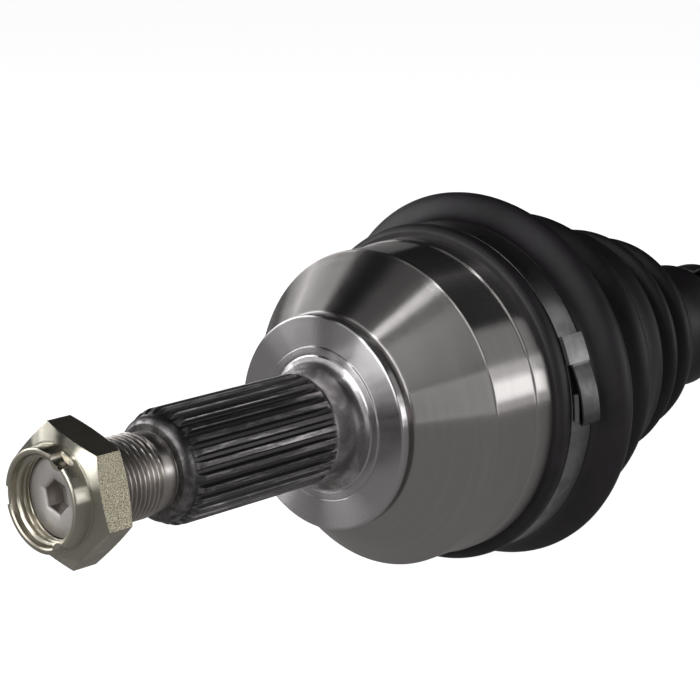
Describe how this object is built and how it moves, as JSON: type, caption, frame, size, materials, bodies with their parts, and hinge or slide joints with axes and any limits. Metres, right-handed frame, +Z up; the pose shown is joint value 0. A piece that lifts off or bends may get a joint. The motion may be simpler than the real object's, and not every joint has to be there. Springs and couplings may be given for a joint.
{
  "type": "drive shaft",
  "caption": "Front-wheel half-shaft with a fixed ball joint, a bar shaft and a plunging tripod joint, under rubber boots, with splined stubs and a hub nut.",
  "frame": {"origin": "centre of the thrust face of the outboard joint, on the shaft axis", "axes": "+X along the shaft axis, pointing inboard from the hub stub to the gearbox stub; +Z up"},
  "size_m": [0.6657, 0.1072, 0.1072],
  "materials": {
    "plated_nut": "yellow zinc plate",
    "machined_steel": "turned",
    "boot_rubber": "satin black",
    "stainless_band": "rolled",
    "bearing_steel": "ground",
    "dark_steel": "phosphated",
    "spring_steel": "blackened"
  },
  "bodies": {
    "hub_end": {"outboard_housing": "machined_steel", "hub_nut": "plated_nut", "outboard_boot": "boot_rubber", "outboard_large_clamp": "stainless_band"},
    "ball_cage": {"outboard_cage": "dark_steel", "outboard_balls": "bearing_steel"},
    "shaft": {"bar_shaft": "dark_steel", "outboard_inner_race": "bearing_steel", "outboard_race_circlip": "spring_steel", "outboard_stop_ring": "spring_steel", "outboard_small_clamp": "stainless_band", "tripod_spider": "bearing_steel", "needles_top": "bearing_steel", "needles_left": "bearing_steel", "needles_right": "bearing_steel", "roller_washers": "bearing_steel", "roller_circlips": "spring_steel", "spider_circlip": "spring_steel", "spider_stop_ring": "spring_steel", "inboard_boot": "boot_rubber", "inboard_small_clamp": "stainless_band"},
    "top_roller": {"roller_top": "bearing_steel"},
    "left_roller": {"roller_left": "bearing_steel"},
    "right_roller": {"roller_right": "bearing_steel"},
    "gearbox_end": {"inboard_housing": "machined_steel", "stub_circlip": "spring_steel", "inboard_large_clamp": "stainless_band"}
  },
  "joints": [
    {"name": "outboard_angle", "type": "hinge", "parent": "hub_end", "child": "shaft", "pos_m": [0.043, 0, 0], "axis": [0, 0, 1], "range_deg": [-42, 42], "deforming": ["outboard_boot"]},
    {"name": "cage_half_angle", "type": "hinge", "parent": "hub_end", "child": "ball_cage", "pos_m": [0.043, 0, 0], "axis": [0, 0, 1], "range_deg": [-21, 21]},
    {"name": "inboard_angle", "type": "hinge", "parent": "shaft", "child": "top_roller", "pos_m": [0.443, 0, 0], "axis": [0, 0, 1], "range_deg": [-18, 18], "deforming": ["inboard_boot"]},
    {"name": "inboard_plunge", "type": "slide", "parent": "top_roller", "child": "gearbox_end", "axis": [1, 0, 0], "range_m": [-0.018, 0.018]},
    {"name": "left_roller_roll", "type": "hinge", "parent": "shaft", "child": "left_roller", "pos_m": [0.443, 0, 0], "axis": [0, -0.866, -0.5], "range_deg": [-75, 75]},
    {"name": "right_roller_roll", "type": "hinge", "parent": "shaft", "child": "right_roller", "pos_m": [0.443, 0, 0], "axis": [0, 0.866, -0.5], "range_deg": [-75, 75]}
  ],
  "couplings": [
    {"joint": "cage_half_angle", "follows": "outboard_angle", "ratio": 0.5},
    {"joint": "left_roller_roll", "follows": "inboard_plunge", "rad_per_m": 66.667},
    {"joint": "right_roller_roll", "follows": "inboard_plunge", "rad_per_m": 66.667}
  ]
}
